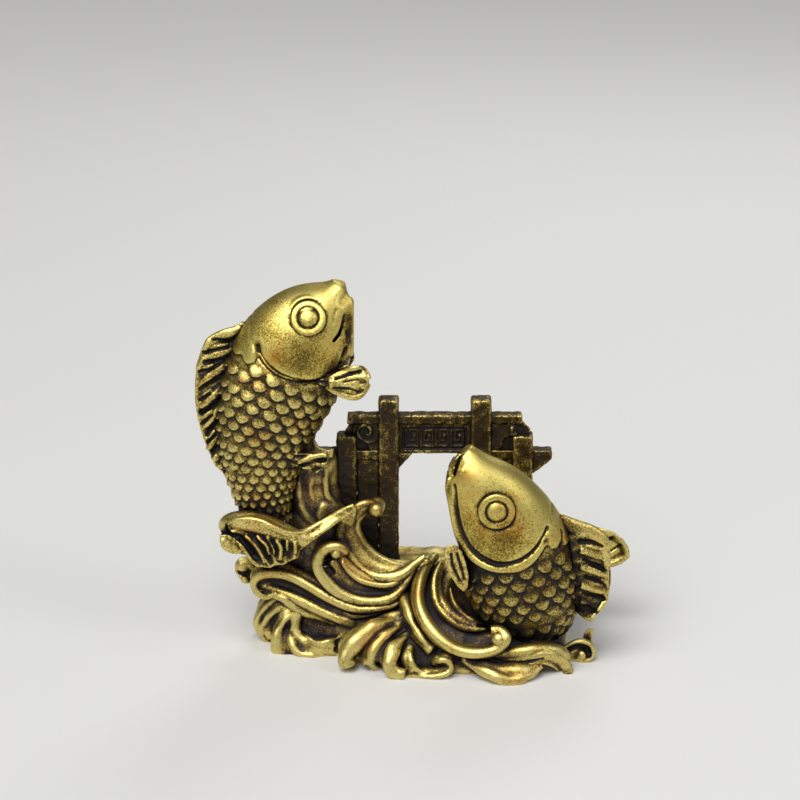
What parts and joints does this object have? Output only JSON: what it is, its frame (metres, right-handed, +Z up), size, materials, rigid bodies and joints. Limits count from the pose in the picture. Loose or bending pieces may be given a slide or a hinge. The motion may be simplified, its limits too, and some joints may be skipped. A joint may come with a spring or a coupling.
{
  "type": "fish figurine",
  "caption": "Small antique-brass figurine: carp leap out of curling waves beside a post-and-beam river gate, on one flat base.",
  "frame": {"origin": "on the flat underside, below the middle of the wave base", "axes": "+Z up; +X to the viewer's right along the gate, towards the lower carp; +Y away from the viewer"},
  "size_m": [0.0588, 0.0261, 0.0528],
  "materials": {
    "carp_brass": "antique brass, polished high spots over dark brown patina in the hollows",
    "gate_brass": "antique brass, mostly dark brown patina with worn bright edges",
    "wave_brass": "antique brass, bright rubbed crests over dark brown patina in the grooves"
  },
  "bodies": {
    "root": {"left_carp_anal_fin": "carp_brass", "left_carp_back_eye": "carp_brass", "left_carp_back_pectoral": "carp_brass", "left_carp_body": "carp_brass", "left_carp_dorsal_fin": "carp_brass", "left_carp_front_eye": "carp_brass", "left_carp_front_pectoral": "carp_brass", "left_carp_head": "carp_brass", "left_carp_tail_fin": "carp_brass", "right_carp_back_eye": "carp_brass", "right_carp_back_pectoral": "carp_brass", "right_carp_body": "carp_brass", "right_carp_dorsal_fin": "carp_brass", "right_carp_front_eye": "carp_brass", "right_carp_front_pectoral": "carp_brass", "right_carp_head": "carp_brass", "right_carp_tail_fin": "carp_brass", "gate_left_cloud_bracket": "gate_brass", "gate_left_inner_post": "gate_brass", "gate_left_outer_post": "gate_brass", "gate_left_side_beam": "gate_brass", "gate_left_side_panel": "gate_brass", "gate_left_spandrel": "gate_brass", "gate_plaque": "gate_brass", "gate_right_cloud_bracket": "gate_brass", "gate_right_inner_post": "gate_brass", "gate_right_outer_post": "gate_brass", "gate_right_side_beam": "gate_brass", "gate_right_side_panel": "gate_brass", "gate_right_spandrel": "gate_brass", "gate_top_beam": "gate_brass", "back_left_crest": "wave_brass", "back_right_crest": "wave_brass", "bowl_fold": "wave_brass", "bowl_rim": "wave_brass", "gate_crest": "wave_brass", "hook_crest": "wave_brass", "left_curl": "wave_brass", "ribbon_crest": "wave_brass", "right_curl": "wave_brass", "splash_column": "wave_brass", "tongue_wave": "wave_brass", "wave_base": "wave_brass"}
  },
  "joints": []
}
